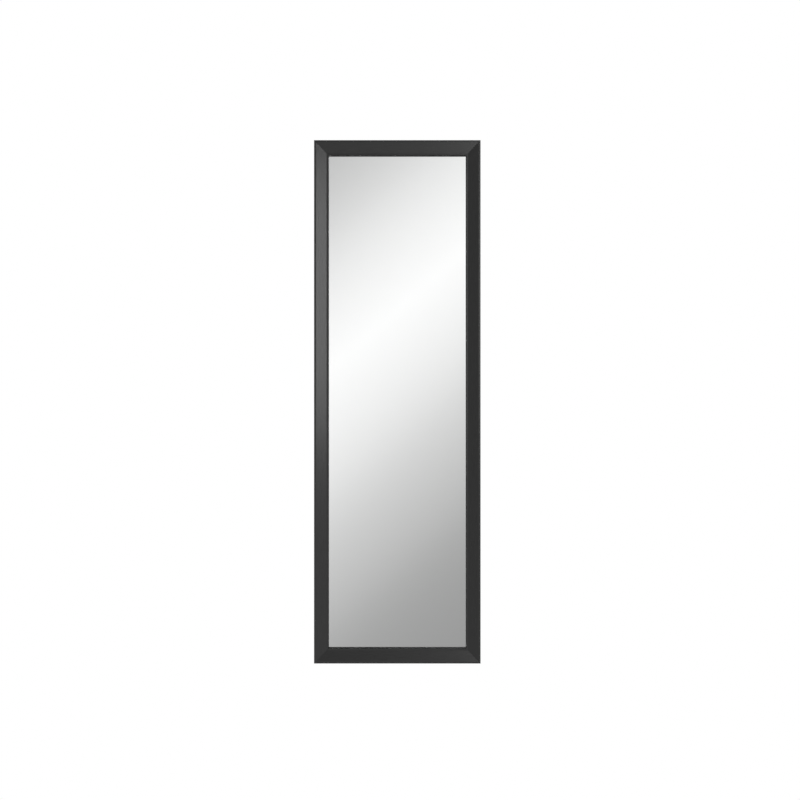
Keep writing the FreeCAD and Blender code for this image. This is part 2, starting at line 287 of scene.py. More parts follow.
class Wire:
    """One output of a node tree. Sums on it add Math nodes, and node() adds any other kind."""

    def __init__(self, tree, socket=None):
        self.tree = tree
        self.socket = socket

    def node(self, kind, settings=None, inputs=None, output=0):
        """Add a node: its settings first, then numbers, colours or wires for its sockets."""
        made = self.tree.nodes.new(kind)
        for name, value in (settings or {}).items():
            if name == "stops":
                self.set_stops(made.color_ramp, value)
            else:
                setattr(made, name, value)
        for key, value in (inputs or {}).items():
            if isinstance(value, Wire):
                self.tree.links.new(value.socket, made.inputs[key])
            else:
                made.inputs[key].default_value = value
        return Wire(self.tree, made.outputs[output] if made.outputs else None)

    @staticmethod
    def set_stops(ramp, levels):
        """Evenly spaced grey levels of a ramp, with a smooth curve through them."""
        ramp.interpolation = "CARDINAL"
        while len(ramp.elements) < len(levels):
            ramp.elements.new(1.0)
        for count, level in enumerate(levels):
            ramp.elements[count].position = count / (len(levels) - 1)
            ramp.elements[count].color = (level, level, level, 1.0)

    def out(self, name):
        """Another output of the same node."""
        return Wire(self.tree, self.socket.node.outputs[name])

    def maths(self, operation, first, second=0.0):
        return self.node("ShaderNodeMath", {"operation": operation}, {0: first, 1: second})

    def most(self, other):
        """The larger of this wire and another."""
        return self.maths("MAXIMUM", self, other)

    def mix(self, first, second):
        """The first colour where this wire is 0, and the second where it is 1."""
        sockets = {MIX_FACTOR: self, MIX_FIRST: first, MIX_SECOND: second}
        return self.node("ShaderNodeMix", {"data_type": "RGBA"}, sockets, MIX_RESULT)

    def __add__(self, other):
        return self.maths("ADD", self, other)

    def __radd__(self, other):
        return self.maths("ADD", other, self)

    def __sub__(self, other):
        return self.maths("SUBTRACT", self, other)

    def __rsub__(self, other):
        return self.maths("SUBTRACT", other, self)

    def __mul__(self, other):
        return self.maths("MULTIPLY", self, other)

    def __rmul__(self, other):
        return self.maths("MULTIPLY", other, self)

    def __pow__(self, other):
        return self.maths("POWER", self, other)

    def __gt__(self, other):
        return self.maths("GREATER_THAN", self, other)

    def __abs__(self):
        return self.maths("ABSOLUTE", self)


def new_tree(owner):
    """A wire to start from, in the emptied node tree of a material or world."""
    owner.use_nodes = True
    owner.node_tree.nodes.clear()
    return Wire(owner.node_tree)


def new_material(name):
    material = bpy.data.materials.new(name)
    return material, new_tree(material)


def object_place(start):
    """Object coordinates, in metres."""
    return start.node("ShaderNodeTexCoord", output="Object")


def axes(vector):
    """The X, Y and Z of a vector."""
    x = vector.node("ShaderNodeSeparateXYZ", inputs={0: vector})
    return x, x.out("Y"), x.out("Z")


def noise(vector, grain, detail=3.0, stretch=(1.0, 1.0, 1.0)):
    """Cloudy pattern from 0 to 1 with grains of that size, drawn out along an axis by a low stretch."""
    mapped = vector.node("ShaderNodeMapping", inputs={"Vector": vector, "Scale": stretch})
    sockets = {"Vector": mapped, "Scale": 1.0 / grain, "Detail": detail}
    return vector.node("ShaderNodeTexNoise", inputs=sockets)


def between(pattern, low, high, curve="LINEAR"):
    """0 where a pattern is low or less, 1 where it is high or more, and a rise between."""
    limits = {"Value": pattern, "From Min": low, "From Max": high}
    return pattern.node("ShaderNodeMapRange", {"interpolation_type": curve}, limits)


def blend(first, second, amount):
    """Two patterns in one, with that amount of the second."""
    return first * (1 - amount) + second * amount


def shade(rgb, level=1.0):
    """A colour at another level, ready for a socket."""
    return [*(min(1.0, value * level) for value in rgb), 1.0]


def tones(rgb, spread):
    """A darker and a lighter version of a colour."""
    return shade(rgb, 1 - spread), shade(rgb, 1 + spread)


def bump(height, depth, strength):
    return height.node("ShaderNodeBump", inputs={"Height": height, "Strength": strength, "Distance": depth})


def finish(material, start, sockets):
    """Complete a material with one principled surface."""
    shader = start.node("ShaderNodeBsdfPrincipled", inputs=sockets)
    start.node("ShaderNodeOutputMaterial", inputs={"Surface": shader})
    return material


def moulding_finish(name, along, settings):
    """Satin black foil with fine lines along a rail, wrapped a little way over raw board at the back."""
    sizes, finishes = settings.moulding, settings.finishes

    def drawn_out(stretch):
        return (1.0, 1.0, stretch) if along == "Z" else (stretch, 1.0, 1.0)

    material, start = new_material(name)
    here = object_place(start)
    x, y, z = axes(here)
    lines = between(noise(here, grain=0.35 * MM, stretch=drawn_out(0.02)), low=0.3, high=0.7)
    fibres = noise(here, grain=0.45 * MM, detail=6.0, stretch=drawn_out(0.5))
    cloud = noise(here, grain=18 * MM)
    ragged = noise(here, grain=4.0 * MM)

    from_side = HALF_WIDTH - abs(x)
    from_end = HEIGHT / 2 - abs(z - HEIGHT / 2)
    across = from_side if along == "Z" else from_end
    wrap_edge = sizes.foil_wrap + (ragged - 0.5) * sizes.wrap_wander
    bare = (y > BACK - sizes.bare_depth) * (across > wrap_edge)
    wrapped = 1 - bare
    # Along each mitre: darker for the glue, and a painted shadow of the gap between the rails
    glue_and_gap_shade = 1 - (abs(from_side - from_end) > sizes.glue_and_shade_line)
    sight_edge = across > RAIL_WIDTH - sizes.sight_radius / 2

    glue_and_shade_cover = 0.8
    foil = lines.mix(*tones(finishes.satin_black, spread=0.5))
    board = blend(fibres, cloud, amount=0.25).mix(*tones(finishes.raw_board, spread=0.35))
    # The raw board is painted darker along the mitres: partly glue, partly painted shadow of the gap
    board = (glue_and_gap_shade * glue_and_shade_cover).mix(board, shade(finishes.raw_board, level=0.35))

    satin, line_dulling, edge_dulling = 0.272, 0.024, 0.28
    foil_roughness = satin + lines * line_dulling + sight_edge * edge_dulling
    matt, fibre_dulling = 0.78, 0.15
    board_roughness = matt + fibres * fibre_dulling
    line_height = 0.06
    height = lines * wrapped * line_height + fibres * bare
    sockets = {
        "Base Color": bare.mix(foil, board),
        "Roughness": foil_roughness * wrapped + board_roughness * bare,
        "Specular IOR Level": 0.41,
        "Normal": bump(height, depth=0.06 * MM, strength=0.35),
    }
    return finish(material, start, sockets)


def pane_finish(settings):
    """Clear float glass, greener and a little ground near its edges."""
    finishes, band = settings.finishes, settings.sheets.green_band
    material, start = new_material("clear float glass")
    here = object_place(start)
    x, _, z = axes(here)
    low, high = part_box("mirror_glass")
    near_side = abs(x) > high.x - band
    near_end = abs(z - HEIGHT / 2) > (high.z - low.z) / 2 - band
    edge = near_side.most(near_end)
    haze = noise(here, grain=60 * MM, detail=2.0)
    ground_roughness, haze_roughness = 0.35, 0.004
    sockets = {
        "Base Color": edge.mix(shade(finishes.pane), shade(finishes.pane_edge)),
        "Roughness": edge * ground_roughness + haze * haze_roughness,
        "IOR": 1.52,
        "Transmission Weight": 1.0,
    }
    return finish(material, start, sockets)


def silver_finish(settings):
    """Silver with the faintest cloudiness of a cheap coating."""
    material, start = new_material("silver coating")
    cloud = noise(object_place(start), grain=25 * MM, detail=4.0)
    cloud_roughness = 0.006
    sockets = {
        "Base Color": cloud.mix(*tones(settings.finishes.silver, spread=0.006)),
        "Roughness": cloud * cloud_roughness,
        "Metallic": 1.0,
    }
    return finish(material, start, sockets)


def hardboard_finish(settings):
    """Pressed brown fibres, with darker flecks and a smooth, slightly waxy face."""
    finishes = settings.finishes
    material, start = new_material("pressed hardboard")
    here = object_place(start)
    cloud = noise(here, grain=45 * MM, detail=4.0)
    fibres = noise(here, grain=0.7 * MM, detail=5.0, stretch=(1.0, 1.0, 0.35))
    flecks = between(noise(here, grain=0.9 * MM, stretch=(0.45, 1.0, 0.8)), low=0.58, high=0.72)
    ground = blend(fibres, cloud, amount=0.3).mix(*tones(finishes.hardboard, spread=0.4))
    fleck_cover = 0.6
    waxy, fibre_dulling, cloud_dulling = 0.48, 0.2, 0.1
    sockets = {
        "Base Color": (flecks * fleck_cover).mix(ground, shade(finishes.hardboard, level=0.4)),
        "Roughness": waxy + fibres * fibre_dulling + cloud * cloud_dulling,
        "Specular IOR Level": 0.4,
        "Normal": bump(fibres, depth=0.05 * MM, strength=0.4),
    }
    return finish(material, start, sockets)


def liner_finish(settings):
    """Grey board, with its paper fibres."""
    material, start = new_material("grey liner board")
    fibres = noise(object_place(start), grain=1.2 * MM, detail=5.0)
    matt, fibre_dulling = 0.8, 0.15
    sockets = {
        "Base Color": fibres.mix(*tones(settings.finishes.liner, spread=0.2)),
        "Roughness": matt + fibres * fibre_dulling,
        "Normal": bump(fibres, depth=0.05 * MM, strength=0.5),
    }
    return finish(material, start, sockets)


def steel_finish(name, rgb, roughness, scratch_depth):
    """Bright steel with cloudy plating and fine tumbling scratches."""
    material, start = new_material(name)
    here = object_place(start)
    cloud = noise(here, grain=2.5 * MM, detail=4.0)
    scratches = noise(here, grain=0.12 * MM, stretch=(0.15, 1.0, 1.0))
    cloud_dulling, scratch_dulling = 0.16, 0.1
    sockets = {
        "Base Color": cloud.mix(*tones(rgb, spread=0.14)),
        "Roughness": roughness + (cloud - 0.5) * cloud_dulling + (scratches - 0.5) * scratch_dulling,
        "Metallic": 1.0,
        "Normal": bump(scratches, scratch_depth, strength=0.3),
    }
    return finish(material, start, sockets)


def rubber_finish(settings):
    """Dull rubber with a fine moulded grain."""
    material, start = new_material("black bumper rubber")
    grain = noise(object_place(start), grain=0.25 * MM, detail=4.0)
    dull, grain_dulling = 0.7, 0.2
    sockets = {
        "Base Color": grain.mix(*tones(settings.finishes.rubber, spread=0.3)),
        "Roughness": dull + grain * grain_dulling,
        "Specular IOR Level": 0.35,
        "Normal": bump(grain, depth=0.03 * MM, strength=0.5),
    }
    return finish(material, start, sockets)


def verts_of(geometry):
    return [item for item in geometry if isinstance(item, bmesh.types.BMVert)]


def edges_of(geometry):
    return [item for item in geometry if isinstance(item, bmesh.types.BMEdge)]


def rim_of(bm):
    """Edges with a face on one side only."""
    return [edge for edge in bm.edges if edge.is_boundary]


def corners_of(edges):
    return list({vert for edge in edges for vert in edge.verts})


def pull(bm, edges, move=(0.0, 0.0, 0.0), spread=1.0):
    """Extrude edges by a move, then spread their new copies in X and Y about the Z axis."""
    made = bmesh.ops.extrude_edge_only(bm, edges=edges)["geom"]
    copies = verts_of(made)
    bmesh.ops.scale(bm, vec=(spread, spread, 1.0), verts=copies)
    bmesh.ops.translate(bm, vec=move, verts=copies)
    return [edge for edge in edges_of(made) if set(edge.verts) <= set(copies)]


def swing(bm, edges, centre, axis, turn, steps):
    """Extrude edges round an axis, and give the last ones."""
    made = bmesh.ops.spin(bm, geom=edges, cent=centre, axis=axis, angle=turn, steps=steps, use_merge=False)
    return edges_of(made["geom_last"])


def round_corners(bm, verts, reach, segments):
    """Round the corners of a flat shape, starting at a distance along its edges."""
    bmesh.ops.bevel(
        bm, geom=verts, offset=reach, segments=segments, profile=0.5, affect="VERTICES", material=-1
    )


def round_edges(bm, edges, reach, segments):
    bmesh.ops.bevel(
        bm,
        geom=edges,
        offset=reach,
        offset_type="OFFSET",
        segments=segments,
        profile=0.5,
        affect="EDGES",
        clamp_overlap=True,
        material=-1,
    )


def sharp_edges(bm):
    return [edge for edge in bm.edges if edge.is_manifold and edge.calc_face_angle() > SOFTENED_ANGLE]


def spread_evenly(verts, middle, right, up, radius):
    """Move verts that lie round a middle, one of them straight to its right, evenly onto a circle."""
    step = 2 * math.pi / len(verts)

    def turn(vert):
        offset = vert.co - middle
        return (math.atan2(offset.dot(up), offset.dot(right)) + step / 2) % (2 * math.pi)

    for count, vert in enumerate(sorted(verts, key=turn)):
        along = right * math.cos(count * step) + up * math.sin(count * step)
        vert.co = middle + along * radius


def face_outwards(bm):
    bmesh.ops.remove_doubles(bm, verts=bm.verts, dist=NEAR)
    bmesh.ops.recalc_face_normals(bm, faces=bm.faces)


def seat(point, direction):
    """Takes a piece drawn in X and Y, with Z off the back, to a point with its X along a direction."""
    side = Y_AXIS.cross(direction)
    turned = Matrix((direction, side, Y_AXIS)).transposed().to_4x4()
    return Matrix.Translation(point) @ turned


def tongue_direction(node):
    """The way a turn button points from its pivot, seen from behind."""
    low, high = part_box(node)
    offset = (low + high) / 2 - PIVOTS[node]
    offset.y = 0.0
    return offset.normalized()


def make_object(name, bm, material):
    """Turn a shape into an object of the scene, with a material."""
    mesh = bpy.data.meshes.new(name)
    bm.to_mesh(mesh)
    bm.free()
    mesh.materials.append(material)
    made = bpy.data.objects.new(name, mesh)
    bpy.context.scene.collection.objects.link(made)
    return made


def add_piece(name, bm, material, body, slot, *nodes):
    """Make a shape a piece that rides on a body and stands for CAD nodes."""
    piece = make_object(name, bm, material)
    piece.data.shade_smooth()
    piece.data.set_sharp_from_angle(angle=CRISP_ANGLE)
    even = piece.modifiers.new("Even normals", "WEIGHTED_NORMAL")
    even.keep_sharp = True
    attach(piece, body)
    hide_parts(*nodes)


def repaint(node, material):
    """Give a CAD node that is shown as it is a finished material."""
    for slot in frame["nodes"][node].material_slots:
        slot.material = material


def draw_section(bm, sizes):
    """The moulding's section: across it in X, and back from the rim in Y."""
    sight = RAIL_WIDTH
    land = sight - sizes.rabbet_width
    lip_back = RABBET_FLOOR - FRONT
    rail_back = BACK - FRONT - sizes.back_relief
    corners = [
        (0.0, 0.0, sizes.rim_radius),
        (sizes.rim_width, 0.0, sizes.ridge_round),
        (sight - sizes.lip_width, sizes.lip_drop, sizes.valley_round),
        (sight, sizes.lip_drop, sizes.sight_radius),
        (sight, lip_back, sizes.arris),
        (land, lip_back, sizes.arris),
        (land, rail_back, sizes.arris),
        (0.0, rail_back, sizes.back_edge),
    ]
    verts = [bm.verts.new((across, back, 0.0)) for across, back, _ in corners]
    bm.faces.new(verts)
    for vert, (_, _, reach) in zip(verts, corners):
        round_corners(bm, [vert], reach, segments=4)


def mitre(side, end):
    """Takes the flat section onto the mitre of one corner of the frame."""
    return Matrix(
        (
            (-side, 0.0, 0.0, side * HALF_WIDTH),
            (0.0, 1.0, 0.0, FRONT),
            (-end, 0.0, 1.0, HEIGHT if end == TOP else 0.0),
            (0.0, 0.0, 0.0, 1.0),
        )
    )


def rail(side, end, flip, sizes):
    """A length of moulding from one corner's mitre to its mirror image across the frame's middle."""
    bm = bmesh.new()
    draw_section(bm, sizes)
    bmesh.ops.transform(bm, matrix=mitre(side, end), verts=bm.verts)
    far = bmesh.ops.extrude_face_region(bm, geom=bm.faces[:])["geom"]
    bmesh.ops.scale(bm, vec=flip, space=Matrix.Translation(-MIDDLE), verts=verts_of(far))
    bmesh.ops.recalc_face_normals(bm, faces=bm.faces)
    cut_ends = [face for face in bm.faces if len(face.verts) > 4]
    end_edges = {edge for face in cut_ends for edge in face.edges}
    round_edges(bm, list(end_edges), sizes.mitre_groove, segments=1)
    return bm


def upright_rectangle(bm, middle, width, height):
    """A flat rectangle in X and Z, round a middle."""
    spread = Matrix.Diagonal((width, 1.0, height, 1.0))
    upright = Matrix.Rotation(QUARTER_TURN, 4, "X")
    where = Matrix.Translation(middle) @ spread @ upright
    bmesh.ops.create_grid(bm, x_segments=1, y_segments=1, size=0.5, matrix=where)


def sheet(low, high, corner, edge):
    """Upright sheet between two corners of a box, with rounded corners and softened edges."""
    bm = bmesh.new()
    size = high - low
    upright_rectangle(bm, ((low.x + high.x) / 2, low.y, (low.z + high.z) / 2), size.x, size.z)
    if corner > 0.0:
        round_corners(bm, bm.verts[:], corner, segments=6)
    far = bmesh.ops.extrude_face_region(bm, geom=bm.faces[:])["geom"]
    bmesh.ops.translate(bm, vec=(0.0, size.y, 0.0), verts=verts_of(far))
    bmesh.ops.recalc_face_normals(bm, faces=bm.faces)
    round_edges(bm, sharp_edges(bm), edge, segments=2)
    return bm


def turn_button(node, sizes, hole_radius):
    """Stamped button: a round head with its hole, and a tongue with rounded corners and a lifted tip."""
    low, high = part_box(node)
    half = min(high.x - low.x, high.z - low.z) / 2
    reach = max(high.x - low.x, high.z - low.z) - half
    round_steps = 32
    bm = bmesh.new()
    bmesh.ops.create_circle(bm, segments=round_steps, radius=hole_radius)
    head = bmesh.ops.create_circle(bm, segments=round_steps, radius=half)["verts"]
    bmesh.ops.bridge_loops(bm, edges=bm.edges[:])
    front_half = [vert for vert in head if vert.co.x > 0.0]
    for vert in front_half:
        vert.co *= half / max(abs(vert.co.x), abs(vert.co.y))
    across = sorted((vert for vert in front_half if vert.co.x > half - NEAR), key=lambda vert: vert.co.y)
    tip = [bm.verts.new((reach, y, 0.0)) for y in (half, -half)]
    bm.faces.new([*across, *tip])
    round_corners(bm, tip, sizes.tip_round, segments=6)

    bend = reach - sizes.tip_length
    folds = [bend + step * sizes.fold_step for step in (-1, 0, 1)]
    for fold in folds:
        whole = [*bm.verts, *bm.edges, *bm.faces]
        bmesh.ops.bisect_plane(bm, geom=whole, plane_co=(fold, 0.0, 0.0), plane_no=X_AXIS)
    lift = Matrix.Rotation(-sizes.tip_angle / len(folds), 3, "Y")
    for fold in reversed(folds):
        beyond = [vert for vert in bm.verts if vert.co.x > fold + NEAR]
        bmesh.ops.rotate(bm, cent=(fold, 0.0, 0.0), matrix=lift, verts=beyond)

    face_outwards(bm)
    if bm.faces[:][0].normal.z > 0.0:
        bmesh.ops.reverse_faces(bm, faces=bm.faces)
    bmesh.ops.solidify(bm, geom=bm.faces[:], thickness=sizes.steel)
    face_outwards(bm)
    round_edges(bm, sharp_edges(bm), sizes.edge, segments=2)
    point = PIVOTS[node] + Y_AXIS * sizes.running_gap
    bmesh.ops.transform(bm, matrix=seat(point, tongue_direction(node)), verts=bm.verts)
    return bm


def cross_recess(bm, sizes):
    """Floor and walls of a cross recess, and the edges of its mouth."""
    floor = Matrix.Translation((0.0, 0.0, sizes.head_height - sizes.recess_depth))
    half = sizes.recess_width * sizes.recess_taper / 2
    arm = (sizes.recess_span - sizes.recess_width) * sizes.recess_taper / 2
    bmesh.ops.create_grid(bm, x_segments=1, y_segments=1, size=half, matrix=floor)
    for edge in bm.edges[:]:
        outwards = (edge.verts[0].co + edge.verts[1].co) / 2
        outwards.z = 0.0
        pull(bm, [edge], outwards.normalized() * arm)
    return pull(bm, rim_of(bm), (0.0, 0.0, sizes.recess_depth), 1.0 / sizes.recess_taper)


def head_rings(sizes):
    """Radius and height of the head's rings, from the flat on top over the dome to the underside."""
    flat, wide, side = sizes.head_flat, sizes.head_radius, sizes.head_side
    above, under = sizes.head_height - side, sizes.head_under
    steps = 4
    turns = [QUARTER_TURN * step / steps for step in range(steps + 1)]
    dome = [(flat + (wide - flat) * math.sin(turn), side + above * math.cos(turn)) for turn in turns]
    rim = [(wide - under + under * math.cos(turn), side - side * math.sin(turn)) for turn in turns[1:]]
    return dome + rim


def add_thread(bm, sizes, shank):
    """A ridge that winds down the shank to just above its point."""
    pitch = sizes.thread_pitch
    plain_turns, steps_in_turn = 2.5, 12
    turns = int((shank - plain_turns * pitch) / pitch)
    sunk, ridge_share = 0.9, 0.3
    foot = sizes.core_radius * sunk
    half = pitch * ridge_share
    ridge = [(foot, half - pitch), (sizes.shank_radius, -pitch), (foot, -half - pitch)]
    verts = [bm.verts.new((radius, 0.0, height)) for radius, height in ridge]
    profile = [bm.edges.new((verts[i - 1], verts[i])) for i in range(len(verts))]
    bm.faces.new(verts)
    end = bmesh.ops.spin(
        bm,
        geom=profile,
        axis=Z_AXIS,
        dvec=(0.0, 0.0, -pitch / steps_in_turn),
        angle=2 * math.pi * turns,
        steps=turns * steps_in_turn,
        use_merge=False,
    )["geom_last"]
    bm.faces.new(verts_of(end))


def screw(sizes, shank):
    """Pan head screw along Z, with the underside of its head at the origin."""
    bm = bmesh.new()
    mouth = cross_recess(bm, sizes)
    bmesh.ops.subdivide_edges(bm, edges=mouth, cuts=1, use_single_edge=True)
    loop = pull(bm, rim_of(bm))
    spread_evenly(corners_of(loop), Z_AXIS * sizes.head_height, X_AXIS, Y_AXIS, sizes.head_flat)
    core, point_turns = sizes.core_radius, 2
    rings = [*head_rings(sizes), (core, 0.0), (core, point_turns * sizes.thread_pitch - shank)]
    radius, height = rings[0]
    for next_radius, next_height in rings[1:]:
        loop = pull(bm, loop, (0.0, 0.0, next_height - height), next_radius / radius)
        radius, height = next_radius, next_height
    point = pull(bm, loop, (0.0, 0.0, -shank - height))
    bmesh.ops.pointmerge(bm, verts=corners_of(point), merge_co=(0.0, 0.0, -shank))
    add_thread(bm, sizes, shank)
    face_outwards(bm)
    return bm


def screw_group(seats, sizes, shank):
    """One screw at each seat, each stopped at another turn of the driver."""
    one = screw(sizes, shank)
    pattern = bpy.data.meshes.new("screw pattern")
    one.to_mesh(pattern)
    one.free()
    group = bmesh.new()
    driver_turn = math.radians(38.0)
    for count, point in enumerate(seats):
        before = len(group.verts)
        group.from_mesh(pattern)
        stopped = driver_turn * count
        towards = Vector((math.cos(stopped), 0.0, math.sin(stopped)))
        bmesh.ops.transform(group, matrix=seat(point, towards), verts=group.verts[:][before:])
    bpy.data.meshes.remove(pattern)
    return group


def punch(bm, face, radius):
    """Put a round hole in the middle of a four-sided face that lies in X and Z."""
    middle = face.calc_center_median()
    around = list(face.edges)
    bmesh.ops.delete(bm, geom=[face], context="FACES_ONLY")
    cut = bmesh.ops.subdivide_edges(bm, edges=around, cuts=3)
    around = list({*around, *edges_of(cut["geom_split"])})
    hole = pull(bm, around)
    spread_evenly(corners_of(hole), middle, X_AXIS, Z_AXIS, radius)


def hanger_strap(name, sizes, hole_radius):
    """Strip folded round the ring's bar, with its two layers flat on the rail and a hole through both."""
    low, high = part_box(f"hanger_strap_{name}")
    eye = PIVOTS[f"hanger_ring_{name}"]
    outer = eye.y - low.y
    drop = eye.z - low.z
    hole_top = -sizes.hole_drop + sizes.hole_cell / 2
    hole_foot = -sizes.hole_drop - sizes.hole_cell / 2
    thickness = 2 * sizes.strip + sizes.layer_gap
    reach = math.hypot(sizes.neck, outer - thickness)
    leaning = math.atan2(outer - thickness, sizes.neck) + math.asin(outer / reach)

    bm = bmesh.new()
    half = (high.x - low.x) / 2
    edges = [bm.edges.new((bm.verts.new((-half, 0.0, -drop)), bm.verts.new((half, 0.0, -drop))))]
    for start, stop in [(-drop, hole_foot), (hole_foot, hole_top), (hole_top, 0.0)]:
        edges = pull(bm, edges, (0.0, 0.0, stop - start))
    edges = swing(bm, edges, (0.0, outer, 0.0), X_AXIS, -math.pi - leaning, steps=20)
    for z in (-sizes.neck, hole_top, hole_foot, -drop):
        here = edges[0].verts[0].co.copy()
        edges = pull(bm, edges, (0.0, thickness - here.y, z - here.z))

    ends = [vert for vert in bm.verts if abs(vert.co.z + drop) < NEAR]
    round_corners(bm, ends, sizes.corner, segments=5)
    cells = [face for face in bm.faces if abs(face.calc_center_median().z + sizes.hole_drop) < NEAR]
    for cell in cells:
        punch(bm, cell, hole_radius)
    bmesh.ops.recalc_face_normals(bm, faces=bm.faces)
    lowest = min(bm.faces, key=lambda face: face.calc_center_median().y)
    if lowest.normal.y > 0.0:
        bmesh.ops.reverse_faces(bm, faces=bm.faces)
    bmesh.ops.solidify(bm, geom=bm.faces[:], thickness=sizes.strip)
    face_outwards(bm)
    round_edges(bm, sharp_edges(bm), sizes.edge, segments=2)
    bmesh.ops.translate(bm, vec=(eye.x, low.y, eye.z), verts=bm.verts)
    return bm


def hanger_ring(node, sizes):
    """Round wire bent to a D: a bar, two bends, two legs and a half round."""
    low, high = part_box(node)
    wire, bend = sizes.wire_radius, sizes.bend_radius
    half = (high.x - low.x) / 2 - wire
    bar = half - bend
    legs_end = -bend - sizes.leg
    bend_steps, bow_steps = 8, 28

    bm = bmesh.new()
    across_wire = Matrix.Rotation(QUARTER_TURN, 4, "Y")
    bmesh.ops.create_circle(bm, segments=20, radius=wire, matrix=across_wire)
    loop = pull(bm, bm.edges[:], (bar, 0.0, 0.0))
    loop = swing(bm, loop, (bar, 0.0, -bend), Y_AXIS, QUARTER_TURN, bend_steps)
    loop = pull(bm, loop, (0.0, 0.0, -sizes.leg))
    loop = swing(bm, loop, (0.0, 0.0, legs_end), Y_AXIS, math.pi, bow_steps)
    loop = pull(bm, loop, (0.0, 0.0, sizes.leg))
    loop = swing(bm, loop, (-bar, 0.0, -bend), Y_AXIS, QUARTER_TURN, bend_steps)
    pull(bm, loop, (bar, 0.0, 0.0))
    face_outwards(bm)

    pivot = PIVOTS[node]
    lean = math.asin((high.y - wire - pivot.y) / (half - legs_end))
    rest = Matrix.Translation(pivot) @ Matrix.Rotation(lean, 4, "X")
    bmesh.ops.transform(bm, matrix=rest, verts=bm.verts)
    return bm


def wall_bumper(node, sizes):
    """Tapered block of rubber with rounded edges, flat where it meets the wall."""
    low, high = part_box(node)
    size = high - low
    bm = bmesh.new()
    bmesh.ops.create_cube(bm, size=1.0, matrix=Matrix.Diagonal((*size, 1.0)))
    face = [vert for vert in bm.verts if vert.co.y > 0.0]
    taper = sizes.face / size.x
    bmesh.ops.scale(bm, vec=(taper, 1.0, taper), verts=face)
    soft_edges = {edge for vert in face for edge in vert.link_edges}
    round_edges(bm, list(soft_edges), sizes.edge, segments=4)
    bmesh.ops.translate(bm, vec=(low + high) / 2, verts=bm.verts)
    return bm


def add_lamp(name, where, width, height, watts):
    """Soft lamp that lights the mirror and stays out of every picture."""
    data = bpy.data.lights.new(name, "AREA")
    data.shape = "RECTANGLE"
    data.size = width
    data.size_y = height
    data.energy = watts
    lamp = bpy.data.objects.new(name, data)
    lamp.location = where
    lamp.rotation_euler = (MIDDLE - lamp.location).to_track_quat("-Z", "Y").to_euler()
    lamp.visible_camera = False
    bpy.context.scene.collection.objects.link(lamp)


def add_camera(stage):
    """Camera square to the mirror, with the mirror where the photograph has it."""
    centre = PHOTO_SIZE / 2
    data = bpy.data.cameras.new("camera")
    data.lens = data.sensor_width * stage.camera_distance / (PHOTO_SIZE * METRES_PER_PIXEL)
    camera = bpy.data.objects.new("camera", data)
    right = (centre - PHOTO_CENTRE[0]) * METRES_PER_PIXEL
    up = (PHOTO_CENTRE[1] - centre) * METRES_PER_PIXEL
    camera.location = MIDDLE + Vector((right, FRONT - stage.camera_distance, up))
    camera.rotation_euler = (QUARTER_TURN, 0.0, 0.0)
    bpy.context.scene.collection.objects.link(camera)
    bpy.context.scene.camera = camera
    return camera


def light_world(stage):
    """White where it is seen, a softer light on everything, and in gloss a little greyer upwards."""
    world = bpy.data.worlds.new("white studio")
    start = new_tree(world)
    x, _, z = axes(start.node("ShaderNodeTexCoord", output="Generated"))
    straight_on, brighter_right, darker_up, least = 0.83, 0.46, 0.48, 0.6
    grading = straight_on + x * brighter_right - z * darker_up
    limits = {"Value": grading, "Min": least, "Max": 1.0}
    mirrored = grading.node("ShaderNodeClamp", inputs=limits)
    seen = start.node("ShaderNodeLightPath", output="Is Camera Ray")
    glossy, through = seen.out("Is Glossy Ray"), seen.out("Is Transmission Ray")
    shown = seen.most(through).most(glossy * mirrored)
    level = shown.most(stage.ambient * (1 - glossy))
    white = start.node("ShaderNodeBackground", inputs={"Color": WHITE, "Strength": level})
    start.node("ShaderNodeOutputWorld", inputs={"Surface": white})
    bpy.context.scene.world = world


def add_floor(stage, rgb):
    """Round pale floor, well below the hanging mirror, that fades away towards its rim."""
    fades_from, fades_to, glow = 0.3, 0.98, 0.35
    material, start = new_material("pale floor")
    x, y, _ = axes(object_place(start))
    radius = (x * x + y * y) ** 0.5
    low, high = stage.floor_radius * fades_from, stage.floor_radius * fades_to
    fade = between(radius, low, high, curve="SMOOTHSTEP")
    matt = start.node("ShaderNodeBsdfDiffuse", inputs={"Color": shade(rgb)})
    white = start.node("ShaderNodeEmission", inputs={"Color": WHITE, "Strength": 1.0})
    pale = start.node("ShaderNodeMixShader", inputs={0: glow, 1: matt, 2: white})
    clear = start.node("ShaderNodeBsdfTransparent")
    blended = start.node("ShaderNodeMixShader", inputs={0: fade, 1: pale, 2: clear})
    start.node("ShaderNodeOutputMaterial", inputs={"Surface": blended})

    bm = bmesh.new()
    level = Matrix.Translation((0.0, 0.0, -stage.floor_drop))
    bmesh.ops.create_circle(bm, cap_ends=True, segments=96, radius=stage.floor_radius, matrix=level)
    floor = make_object("floor", bm, material)


